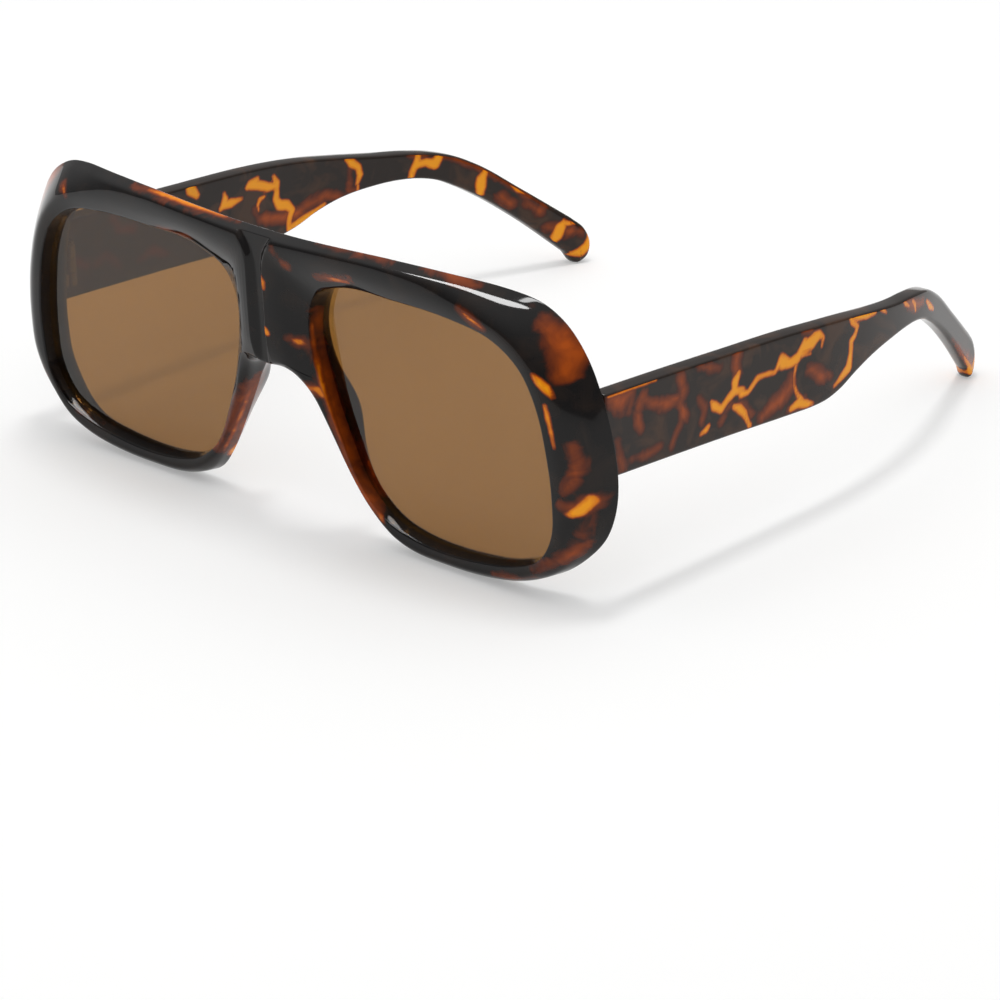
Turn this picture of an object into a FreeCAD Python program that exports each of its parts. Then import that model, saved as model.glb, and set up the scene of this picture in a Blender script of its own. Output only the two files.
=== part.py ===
import FreeCAD, Part
import math
import os

# Oversized sunglasses with a moulded front, two flat tinted lenses and two folding temples.
# All lengths are in millimetres. +X is the wearer's left, +Y runs back towards the ears, +Z is up.
# The pieces are made with y = 0 where the rims' faces meet the lens openings and z = 0 on the table.
# At the end they all move so that the origin is at the middle of the part's base.

# Lens openings and the rims round them
lens_opening_width = 55.6
lens_opening_height = 46.4
lens_flare = 0.5
lens_flare_depth = 2.6
bridge_width = 18.8
top_rim = 8.0
bottom_rim = 4.0
side_rim = 9.6
nose_arch_height = 31.4

# Depths of the front, and how it leans
mid_depth = 6.4
side_depth = 9.0
wrap_run = 12.0
back_allowance = 0.6
block_front_y = -6.0
face_overrun = 5.0
face_inner_overlap = 1.0
face_inner_y = 0.8
front_lean_degrees = 2.0
lean_height = 29.2

# Swelling on the back of each nose flank, part of a ball
nose_pad_radius = 10.0
nose_pad_rise = 2.5
nose_pad_offset = 2.6
nose_pad_height_share = 0.76

# Channel down the middle of the bridge, and the saddle behind it
channel_floor_y = -2.0
channel_floor_width = 2.6
channel_depth = 5.0
channel_slope = 0.9
channel_flare_width = 9.0
channel_flare_height = 5.0
saddle_radius = 9.0
saddle_depth = 3.0
saddle_tilt_degrees = 12.0

# Lenses and their groove
lens_thickness = 1.6
lens_setback = 3.2
groove_depth = 0.8
groove_clearance = 0.08

# Temples
temple_reach = 126.4
temple_top_height = 40.0
temple_thickness = 3.6
temple_inset = 2.6
temple_straight = 53.1
temple_turn_radius = 125.0
temple_turn_degrees = 22.5
temple_edge_round = 0.5
joint_gap = 0.15

# Hinges
hinge_height_share = 0.795
hinge_leaf_height = 8.0
hinge_leaf_thickness = 1.0
front_leaf_width = 4.8
temple_leaf_length = 12.0
barrel_radius = 1.5
barrel_gap = 0.35
barrel_side_gap = 0.2
knuckle_gap = 0.1
knuckle_web = 2.2
screw_radius = 0.7
screw_clearance = 0.05
screw_head_radius = 1.25
screw_head_height = 0.6
screw_slot_width = 0.35
screw_slot_depth = 0.3
seat_clearance = 0.05

# Every cut runs past what it cuts by this much
cut_overrun = 2.0

# Every closed curve is made in this many pieces
curve_pieces = 4

half_width = bridge_width / 2 + lens_opening_width + side_rim
hinge_height = hinge_height_share * temple_top_height
front_height = bottom_rim + lens_opening_height + top_rim
lean = math.radians(front_lean_degrees)

# The wearer's left rim, from the top of the bridge by the cheek and the foot of the nose to the top of
# the nose gap. Each row holds three points, on the edge round the back, on the crease round the front
# and on the edge of the front face. A point is a share of half_width, a share of front_height and a
# share of side_depth. The last number is how far the bevel behind the back edge reaches towards the
# lens opening, as a share of that way.
rim_shares = [
    ((0.000, 0.985, -0.07), (0.000, 0.974, -0.39), (0.000, 0.959, -0.43), 0.62),
    ((0.080, 0.985, -0.07), (0.080, 0.974, -0.38), (0.080, 0.959, -0.42), 0.62),
    ((0.241, 0.995, -0.09), (0.241, 0.981, -0.34), (0.241, 0.964, -0.38), 0.62),
    ((0.416, 1.000, 0.03), (0.416, 0.983, -0.26), (0.416, 0.966, -0.28), 0.62),
    ((0.590, 0.991, 0.28), (0.576, 0.976, -0.08), (0.556, 0.957, -0.18), 0.58),
    ((0.724, 0.966, 0.66), (0.717, 0.949, 0.30), (0.684, 0.916, -0.07), 0.50),
    ((0.811, 0.937, 0.84), (0.798, 0.925, 0.56), (0.771, 0.870, 0.02), 0.35),
    ((0.878, 0.885, 0.88), (0.858, 0.866, 0.64), (0.828, 0.805, 0.09), 0.20),
    ((0.929, 0.798, 0.92), (0.906, 0.771, 0.60), (0.870, 0.719, 0.13), 0.12),
    ((0.968, 0.676, 0.94), (0.944, 0.651, 0.56), (0.902, 0.611, 0.17), 0.12),
    ((0.993, 0.531, 0.97), (0.971, 0.517, 0.56), (0.922, 0.497, 0.19), 0.12),
    ((1.000, 0.385, 0.96), (0.979, 0.380, 0.56), (0.929, 0.373, 0.20), 0.12),
    ((0.992, 0.300, 0.89), (0.969, 0.295, 0.53), (0.925, 0.291, 0.20), 0.12),
    ((0.968, 0.223, 0.82), (0.942, 0.219, 0.47), (0.902, 0.216, 0.20), 0.20),
    ((0.921, 0.154, 0.73), (0.895, 0.151, 0.40), (0.861, 0.151, 0.18), 0.30),
    ((0.854, 0.089, 0.67), (0.836, 0.084, 0.33), (0.808, 0.091, 0.14), 0.40),
    ((0.774, 0.045, 0.64), (0.761, 0.039, 0.29), (0.741, 0.055, 0.12), 0.45),
    ((0.654, 0.012, 0.62), (0.649, 0.010, 0.27), (0.643, 0.033, 0.11), 0.45),
    ((0.496, 0.000, 0.60), (0.496, 0.002, 0.27), (0.496, 0.026, 0.11), 0.45),
    ((0.387, 0.010, 0.60), (0.393, 0.012, 0.27), (0.402, 0.031, 0.11), 0.45),
    ((0.314, 0.041, 0.60), (0.322, 0.045, 0.27), (0.338, 0.058, 0.11), 0.40),
    ((0.255, 0.120, 0.54), (0.258, 0.122, 0.24), (0.266, 0.128, 0.13), 0.45),
    ((0.201, 0.226, 0.47), (0.203, 0.227, 0.20), (0.211, 0.231, 0.09), 0.50),
    ((0.141, 0.368, 0.43), (0.144, 0.370, 0.11), (0.155, 0.376, 0.02), 0.50),
    ((0.102, 0.466, 0.43), (0.105, 0.469, -0.04), (0.121, 0.483, -0.10), 0.40),
    ((0.071, 0.517, 0.47), (0.072, 0.522, -0.20), (0.084, 0.541, -0.27), 0.25),
    ((0.000, 0.538, 0.50), (0.000, 0.545, -0.36), (0.000, 0.568, -0.47), 0.15),
]

# The same three points past the middle of the bridge, to close the cutter that shapes the rim's face.
past_middle_shares = [
    ((-0.054, 0.575, 0.60), (-0.054, 0.540, -0.40), (-0.050, 0.575, -0.55)),
    ((-0.107, 0.634, 0.60), (-0.107, 0.600, -0.56), (-0.094, 0.634, -0.83)),
    ((-0.127, 0.753, 0.60), (-0.127, 0.753, -0.72), (-0.107, 0.753, -1.11)),
    ((-0.107, 0.925, 0.30), (-0.107, 0.918, -0.56), (-0.094, 0.890, -0.83)),
    ((-0.054, 0.985, -0.03), (-0.054, 0.974, -0.40), (-0.054, 0.959, -0.47)),
]

# Lens opening, from its lower nose side round by the cheek: shares of its width and height.
lens_shares = [
    (0.280, 0.045),
    (0.380, 0.012),
    (0.500, 0.000),
    (0.660, 0.010),
    (0.820, 0.044),
    (0.925, 0.100),
    (0.985, 0.210),
    (1.000, 0.370),
    (0.988, 0.560),
    (0.955, 0.735),
    (0.900, 0.860),
    (0.805, 0.945),
    (0.640, 0.990),
    (0.400, 1.000),
    (0.170, 0.988),
    (0.045, 0.920),
    (0.000, 0.785),
    (0.030, 0.560),
    (0.095, 0.340),
    (0.190, 0.125),
]

# Temple seen from the side: shares of temple_reach from the hinge end and of temple_top_height.
temple_top_shares = [
    (0.000, 1.000),
    (0.128, 0.973),
    (0.247, 0.945),
    (0.421, 0.900),
    (0.517, 0.860),
    (0.596, 0.815),
    (0.659, 0.779),
    (0.715, 0.753),
    (0.751, 0.729),
    (0.782, 0.696),
    (0.818, 0.633),
    (0.889, 0.460),
    (0.969, 0.255),
]
temple_tip_shares = [
    (0.969, 0.255),
    (0.992, 0.180),
    (1.000, 0.098),
    (0.992, 0.023),
    (0.978, 0.000),
    (0.962, 0.064),
]
temple_bottom_shares = [
    (0.962, 0.064),
    (0.889, 0.282),
    (0.826, 0.445),
    (0.786, 0.530),
    (0.755, 0.583),
    (0.723, 0.613),
    (0.683, 0.628),
    (0.643, 0.628),
    (0.580, 0.610),
    (0.532, 0.573),
    (0.497, 0.535),
    (0.465, 0.515),
    (0.429, 0.513),
    (0.390, 0.521),
    (0.247, 0.555),
    (0.128, 0.580),
    (0.000, 0.605),
]


def vec(x, y, z):
    return FreeCAD.Vector(x, y, z)


def mirrored(shape):
    return shape.mirror(vec(0, 0, 0), vec(1, 0, 0))


def closed_parameters(points):
    """Running length along a closed row of points, for curves that share one set of knots."""
    lengths = [0.0]
    for here, after in zip(points, points[1:] + points[:1]):
        lengths.append(lengths[-1] + here.distanceToPoint(after))
    return lengths


def closed_curves(points, parameters):
    """A smooth closed curve through the points, in a few pieces."""
    ends = [parameters[round(len(points) * i / curve_pieces)] for i in range(curve_pieces + 1)]
    pieces = []
    for here, after in zip(ends, ends[1:]):
        curve = Part.BSplineCurve()
        curve.interpolate(Points=points, PeriodicFlag=True, Parameters=parameters)
        curve.segment(here, after)
        pieces.append(curve)
    return pieces


def closed_wire(points, parameters):
    return Part.Wire([curve.toShape() for curve in closed_curves(points, parameters)])


def spline_edge(points):
    curve = Part.BSplineCurve()
    curve.interpolate(points)
    return curve.toShape()


def block(low, high):
    size = high - low
    return Part.makeBox(size.x, size.y, size.z, low)


def z_cylinder(radius, x, y, low, high):
    return Part.makeCylinder(radius, high - low, vec(x, y, low))


# Front frame
def lens_outline_points(depth, grow=0.0):
    """The wearer's left lens opening, or a copy of it grown all round."""
    inner = bridge_width / 2 - grow
    low = bottom_rim - grow
    width = lens_opening_width + 2 * grow
    height = lens_opening_height + 2 * grow
    return [vec(inner + x * width, depth, low + z * height) for x, z in lens_shares]


def lens_prism(front, back, grow=0.0):
    points = lens_outline_points(front, grow)
    face = Part.Face(closed_wire(points, closed_parameters(points)))
    return face.extrude(vec(0, back - front, 0))


def back_y(x):
    """Depth of the back of the front: shallow in the middle, deeper where the sides sweep back."""
    wrap_end = bridge_width / 2 + lens_opening_width
    way = min(max((abs(x) - wrap_end + wrap_run) / wrap_run, 0.0), 1.0)
    return mid_depth + (side_depth - mid_depth) * way * way * (3 - 2 * way)


def placed(point_shares):
    x, z, y = point_shares
    return vec(x * half_width, y * side_depth, z * front_height)


def at_depth(points, y):
    return [vec(p.x, y, p.z) for p in points]


def towards_lens(points, grow):
    """Where straight ways from the points to the middle of the lens meet its opening."""
    centre = vec(bridge_width / 2 + lens_opening_width / 2, 0, bottom_rim + lens_opening_height / 2)
    outline_points = lens_outline_points(0, grow)
    outline = closed_wire(outline_points, closed_parameters(outline_points))
    ways = [Part.makeLine(centre, p) for p in at_depth(points, 0)]
    return [outline.distToShape(way)[1][0][0] for way in ways]


def both_halves(half):
    return half + [vec(-p.x, p.y, p.z) for p in reversed(half[1:-1])]


def lofted(rows, parameters):
    """A solid of straight strips between closed rows of points, with flat ends."""
    faces = [Part.Face(closed_wire(points, parameters)) for points in (rows[0], rows[-1])]
    for here, after in zip(rows, rows[1:]):
        pairs = zip(closed_curves(here, parameters), closed_curves(after, parameters))
        faces += [one.makeRuledSurface(other).toShape() for one, other in pairs]
    shell = Part.Shell(faces)
    shell.sewShape()
    return Part.Solid(shell)


def front_block():
    """The front's outside: its sides, the edge round its back and the bevel behind that edge."""
    edge = [placed(row[0]) for row in rim_shares]
    crease = [placed(row[1]) for row in rim_shares]
    front = []
    for at_edge, at_crease in zip(edge, crease):
        way = at_crease - at_edge
        front.append(at_edge + way * ((block_front_y - at_edge.y) / way.y))
    bevel = []
    for at_edge, at_lens, row in zip(edge, towards_lens(edge, 0.0), rim_shares):
        way = at_lens - at_edge
        x = at_edge.x + way.x * row[3] if at_edge.x else 0.0
        bevel.append(vec(x, back_y(x) + back_allowance, at_edge.z + way.z * row[3]))
    rear = at_depth(bevel, side_depth + cut_overrun)
    rows = [both_halves(half) for half in (front, edge, bevel, rear)]
    return lofted(rows, closed_parameters(both_halves(edge)))


def face_cut():
    """What lies in front of the wearer's left rim: its face slopes back from the crease to the lens."""
    rows = rim_shares + past_middle_shares
    edge = [placed(row[0]) for row in rows]
    crease = [placed(row[1]) for row in rows]
    face = [placed(row[2]) for row in rows]
    outside = []
    for at_crease, at_face in zip(crease, face):
        way = at_crease - at_face
        outside.append(at_crease + way * (face_overrun / way.Length))
    inside = at_depth(towards_lens(edge, -face_inner_overlap), face_inner_y)
    parameters = closed_parameters(face)
    return lofted([at_depth(outside, 2 * block_front_y), outside, face, inside], parameters)


def opening_cut():
    """The way through for a lens, flared in front of it."""
    flare = lens_flare * (lens_flare_depth - block_front_y) / lens_flare_depth
    rows = [
        lens_outline_points(block_front_y, flare),
        lens_outline_points(lens_flare_depth, 0.0),
        lens_outline_points(side_depth + cut_overrun, 0.0),
    ]
    return lofted(rows, closed_parameters(rows[-1]))


def nose_pad():
    """The ball whose cap swells out of the back of the wearer's left nose flank."""
    x = bridge_width / 2 + nose_pad_offset
    y = mid_depth + nose_pad_rise - nose_pad_radius
    return Part.makeSphere(nose_pad_radius, vec(x, y, nose_pad_height_share * nose_arch_height))


def rear_cut():
    """What lies behind the front, but for the nose pad."""
    wrap_end = bridge_width / 2 + lens_opening_width
    wrap_start = wrap_end - wrap_run
    wrap_middle = (wrap_start + wrap_end) / 2
    far_x = half_width + cut_overrun
    far_y = side_depth + 2 * cut_overrun

    def turn(sign):
        curve = Part.BezierCurve()
        curve.setPoles([
            vec(sign * wrap_start, mid_depth, 0),
            vec(sign * wrap_middle, mid_depth, 0),
            vec(sign * wrap_middle, side_depth, 0),
            vec(sign * wrap_end, side_depth, 0),
        ])
        return curve.toShape()

    def run(x0, y0, x1, y1):
        return Part.makeLine(vec(x0, y0, 0), vec(x1, y1, 0))

    edges = [
        run(-wrap_start, mid_depth, wrap_start, mid_depth),
        turn(1),
        run(wrap_end, side_depth, far_x, side_depth),
        run(far_x, side_depth, far_x, far_y),
        run(far_x, far_y, -far_x, far_y),
        run(-far_x, far_y, -far_x, side_depth),
        run(-far_x, side_depth, -wrap_end, side_depth),
        turn(-1),
    ]
    face = Part.Face(Part.Wire(Part.__sortEdges__(edges)))
    face.translate(vec(0, 0, -cut_overrun))
    return face.extrude(vec(0, 0, front_height + 2 * cut_overrun)).cut(nose_pad())


def channel_cut():
    """A groove down the bridge with sloping walls, flared open at its top."""
    bottom = nose_arch_height - cut_overrun
    top = front_height + cut_overrun
    neck = front_height - channel_flare_height

    def section(depth, spread):
        narrow = channel_floor_width / 2 + spread
        wide = channel_flare_width / 2 + spread
        right = [(narrow, bottom), (narrow, neck), (wide, top)]
        left = [(-x, z) for x, z in reversed(right)]
        points = [vec(x, depth, z) for x, z in right + left]
        return Part.makePolygon(points + points[:1])

    sections = [section(channel_floor_y, 0.0), section(channel_floor_y - channel_depth, channel_slope)]
    return Part.makeLoft(sections, True, True)


def saddle_cut():
    """The hollow behind the bridge that the nose sits in."""
    tilt = math.radians(saddle_tilt_degrees)
    way = vec(0, math.sin(tilt), math.cos(tilt))
    foot = vec(0, mid_depth - saddle_depth + saddle_radius, nose_arch_height) - way * (2 * saddle_radius)
    return Part.makeCylinder(saddle_radius, 2 * saddle_radius + front_height, foot, way)


def leaned(shape):
    return shape.rotated(vec(0, 0, lean_height), vec(1, 0, 0), front_lean_degrees)


def front_frame(hinge_seat):
    far = 2 * half_width
    left_side = block(vec(0, -far, -far), vec(far, far, far))
    half = front_block().common(left_side).cut([face_cut(), rear_cut(), channel_cut(), saddle_cut()])
    body = half.fuse(mirrored(half)).removeSplitter()
    opening = opening_cut()
    groove_back = lens_setback + lens_thickness + groove_clearance
    groove = lens_prism(lens_setback - groove_clearance, groove_back, groove_depth)
    body = body.cut([opening, mirrored(opening), groove, mirrored(groove)])
    body = leaned(body)
    body = body.cut([hinge_seat, mirrored(hinge_seat)])
    return body.removeSplitter().Solids[0]


# Lens
def lens():
    edge = groove_depth - groove_clearance
    return leaned(lens_prism(lens_setback, lens_setback + lens_thickness, edge))


# Hinge places, shared by the leaves, their seats and the temple's end
def rear_face_y(z):
    """How far back the leaning rear face of the front's side lies at a height."""
    return side_depth / math.cos(lean) - (z - lean_height) * math.tan(lean)


temple_outer_x = half_width - temple_inset
temple_inner_x = temple_outer_x - temple_thickness
hinge_x = temple_inner_x - barrel_radius - barrel_side_gap
hinge_y = rear_face_y(hinge_height) + barrel_radius + barrel_gap
leaf_low = hinge_height - hinge_leaf_height / 2
leaf_high = hinge_height + hinge_leaf_height / 2
knuckle_height = (hinge_leaf_height - 2 * knuckle_gap) / 3
middle_low = leaf_low + knuckle_height + knuckle_gap
middle_high = leaf_high - knuckle_height - knuckle_gap


def barrel(low, high):
    return z_cylinder(barrel_radius, hinge_x, hinge_y, low, high)


def bored(leaf):
    bore_radius = screw_radius + screw_clearance
    bore = z_cylinder(bore_radius, hinge_x, hinge_y, leaf_low - cut_overrun, leaf_high + cut_overrun)
    return leaf.cut(bore).removeSplitter()


def front_leaf_plate(spread, back):
    left = hinge_x - knuckle_web / 2 - spread
    right = left + front_leaf_width + 2 * spread
    front = rear_face_y(hinge_height) - hinge_leaf_thickness
    return block(vec(left, front, leaf_low - spread), vec(right, back, leaf_high + spread))


def front_hinge():
    plate = front_leaf_plate(0.0, rear_face_y(hinge_height))
    pieces = []
    for low, high in ((leaf_low, leaf_low + knuckle_height), (leaf_high - knuckle_height, leaf_high)):
        web_left = hinge_x - knuckle_web / 2
        web_front = rear_face_y(hinge_height) - hinge_leaf_thickness
        pieces.append(block(vec(web_left, web_front, low), vec(web_left + knuckle_web, hinge_y, high)))
        pieces.append(barrel(low, high))
    return bored(plate.fuse(pieces))


def temple_leaf_plate(spread, inner):
    front = hinge_y - knuckle_web / 2 - spread
    back = front + temple_leaf_length + 2 * spread
    outer = temple_inner_x + hinge_leaf_thickness
    return block(vec(inner, front, leaf_low - spread), vec(outer, back, leaf_high + spread))


def temple_hinge():
    plate = temple_leaf_plate(0.0, temple_inner_x)
    web_front = hinge_y - knuckle_web / 2
    web_right = temple_inner_x + hinge_leaf_thickness
    web = block(vec(hinge_x, web_front, middle_low), vec(web_right, web_front + knuckle_web, middle_high))
    return bored(plate.fuse([web, barrel(middle_low, middle_high)]))


def hinge_screw():
    top = leaf_high + screw_head_height
    shaft = z_cylinder(screw_radius, hinge_x, hinge_y, leaf_low, leaf_high)
    head = z_cylinder(screw_head_radius, hinge_x, hinge_y, leaf_high, top)
    slot_reach = screw_head_radius + cut_overrun
    slot_low = vec(hinge_x - slot_reach, hinge_y - screw_slot_width / 2, top - screw_slot_depth)
    slot_high = vec(hinge_x + slot_reach, hinge_y + screw_slot_width / 2, top + cut_overrun)
    return shaft.fuse(head).cut(block(slot_low, slot_high)).removeSplitter()


# Temple
def temple_side_face():
    """Side outline of a temple. Its hinge end runs parallel to the leaning rear of the front."""
    temple_front = rear_face_y(hinge_height) + joint_gap

    def place(share_y, share_z):
        z = share_z * temple_top_height
        end = rear_face_y(z) + joint_gap
        y = temple_front + share_y * temple_reach
        return vec(0, y if share_y else end, z)

    top = [place(y, z) for y, z in temple_top_shares]
    tip = [place(y, z) for y, z in temple_tip_shares]
    bottom = [place(y, z) for y, z in temple_bottom_shares]
    edges = [spline_edge(top), spline_edge(tip), spline_edge(bottom), Part.makeLine(bottom[-1], top[0])]
    return Part.Face(Part.Wire(edges))


def temple_plan_face():
    """Plan of a temple: straight from the hinge, then an arc inwards, then straight to the tip."""
    turn = math.radians(temple_turn_degrees)
    turn_y = rear_face_y(hinge_height) + joint_gap + temple_straight
    centre = vec(temple_outer_x - temple_turn_radius, turn_y, 0)
    outer_radius = temple_turn_radius
    inner_radius = temple_turn_radius - temple_thickness
    tail = temple_reach
    tail_way = vec(-math.sin(turn), math.cos(turn), 0)

    def on_arc(radius, angle):
        return centre + vec(radius * math.cos(angle), radius * math.sin(angle), 0)

    def arc(radius):
        return Part.Arc(on_arc(radius, 0), on_arc(radius, turn / 2), on_arc(radius, turn)).toShape()

    outer_start = vec(temple_outer_x, 0, 0)
    inner_start = vec(temple_inner_x, 0, 0)
    outer_end = on_arc(outer_radius, turn) + tail_way * tail
    inner_end = on_arc(inner_radius, turn) + tail_way * tail
    edges = [
        Part.makeLine(outer_start, on_arc(outer_radius, 0)),
        arc(outer_radius),
        Part.makeLine(on_arc(outer_radius, turn), outer_end),
        Part.makeLine(outer_end, inner_end),
        Part.makeLine(inner_end, on_arc(inner_radius, turn)),
        arc(inner_radius),
        Part.makeLine(on_arc(inner_radius, 0), inner_start),
        Part.makeLine(inner_start, outer_start),
    ]
    return Part.Face(Part.Wire(Part.__sortEdges__(edges)))


def temple(leaf_seat):
    side = temple_side_face().extrude(vec(half_width + cut_overrun, 0, 0))
    plan = temple_plan_face()
    plan.translate(vec(0, 0, -cut_overrun))
    slab = plan.extrude(vec(0, 0, front_height + 2 * cut_overrun))
    body = side.common(slab).removeSplitter()
    body = body.makeFillet(temple_edge_round, body.Edges)
    return body.cut(leaf_seat).removeSplitter().Solids[0]


# Assembly
def main():
    front_seat = front_leaf_plate(seat_clearance, rear_face_y(hinge_height) + cut_overrun)
    temple_seat = temple_leaf_plate(seat_clearance, temple_inner_x - cut_overrun)
    left_pieces = {
        "lens": lens(),
        "temple": temple(temple_seat),
        "front_hinge": front_hinge(),
        "temple_hinge": temple_hinge(),
        "hinge_screw": hinge_screw(),
    }
    nodes = {"front_frame": front_frame(front_seat)}
    for name, shape in left_pieces.items():
        nodes["left_" + name] = shape
        nodes["right_" + name] = mirrored(shape)

    box = Part.Compound(list(nodes.values())).optimalBoundingBox(False)
    to_origin = vec(-box.Center.x, -box.Center.y, -box.ZMin)
    os.makedirs("parts", exist_ok=True)
    for name, shape in nodes.items():
        shape.translate(to_origin)
        shape.exportStep("parts/" + name + ".step")
        print(name, len(shape.Solids), "solid, valid", shape.isValid(), "volume", round(shape.Volume, 2))
    print("size", [round(s, 2) for s in (box.XLength, box.YLength, box.ZLength)])
    left_axis = vec(hinge_x, hinge_y, hinge_height) + to_origin
    print("left hinge axis at", [round(s, 3) for s in left_axis])
    print("moved back by", round(-to_origin.y, 3), "and up by", round(to_origin.z, 4))


main()
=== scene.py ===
import math

import bmesh
import bpy
import numpy as np
from mathutils import Matrix, Quaternion, Vector


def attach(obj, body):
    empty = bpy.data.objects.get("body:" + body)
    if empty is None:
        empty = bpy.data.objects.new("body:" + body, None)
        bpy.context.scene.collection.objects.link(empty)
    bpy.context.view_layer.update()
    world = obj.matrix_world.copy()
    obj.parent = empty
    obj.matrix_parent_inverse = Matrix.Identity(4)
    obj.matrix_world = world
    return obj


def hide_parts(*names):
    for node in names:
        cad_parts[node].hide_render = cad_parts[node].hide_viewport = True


# Oversized tortoiseshell sunglasses. Lengths are in millimetres until a mesh is made, when they become
# metres. +X is the wearer's left, +Y runs back to the ears and +Z is up, as in the frame.
mm = 0.001
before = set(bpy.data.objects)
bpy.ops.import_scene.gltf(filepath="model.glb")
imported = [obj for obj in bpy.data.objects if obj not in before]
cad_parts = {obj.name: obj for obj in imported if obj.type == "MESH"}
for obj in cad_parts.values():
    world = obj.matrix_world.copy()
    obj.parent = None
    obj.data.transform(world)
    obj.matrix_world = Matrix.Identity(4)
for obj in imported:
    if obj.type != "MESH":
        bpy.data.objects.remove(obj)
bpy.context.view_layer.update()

# Where the plane through the lens lips and the table lie in the frame
lip_plane_y = -65.351
table_z = 0.012

# How near counts as the same: for points that are welded, for the middle plane and for a cut loop
weld_distance = 0.002
middle_tolerance = 1e-6
loop_tolerance = 1e-4

# The front's own sizes, with those of the lens's seat, the saddle and the nose swells
half_width = 74.6
front_height = 58.4
side_depth = 9.0
mid_depth = 6.4
wrap_run = 12.0
lens_opening_width = 55.6
lens_opening_height = 46.4
bridge_width = 18.8
bottom_rim = 4.0
lens_flare = 0.5
lens_setback = 3.2
lens_thickness = 1.6
lens_in_groove = 0.6
front_lean_degrees = 2.0
lean_height = 29.2
saddle_radius = 9.0
saddle_depth = 3.0
saddle_foot_height = 31.4
saddle_tilt_degrees = 12.0
leaf_proud = 0.1
nose_swell = 2.6
nose_swell_x = 12.4
nose_swell_z = 24.0
nose_swell_width = 4.0
nose_swell_height = 7.0
back_corner_round = 0.8

# Channel down the bridge
channel_floor_y = -2.8
channel_half_width = 2.1
channel_wall = 1.4
channel_neck_height = 53.4
channel_flare_slope = 0.75
channel_flare_ease = 1.0
channel_reach = 7.0
channel_loop_step = 0.3

# How the rim's profile is shared out between its named points
near_lip_share = 0.12
face_middle_share = 0.55
face_bulge_share = 0.07
crisp_after_crease_share = 0.28
soft_after_crease_share = 0.45
before_edge_share = 0.80
crease_easing_share = 0.25
brow_crisp_share = 0.42
brow_soft_share = 0.64
brow_low_share = 0.90
after_edge_share = 0.12
bevel_middle_share = 0.6
before_back_corner_share = 0.85
before_lip_share = 0.8
rim_steps = 3
bridge_steps = 2
rim_smoothing = 2

# Where the smoothed front is eased once more: the back of the bridge's top, and the brow's outer corners
back_ease_reach = 8.0
back_ease_y = 0.8
back_ease_height = 45.0
back_ease_rounds = 14
corner_ease_start = 30.0
corner_ease_height = 44.0
corner_ease_upright = 0.3
corner_ease_rounds = 6
ease_share = 0.5

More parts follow.
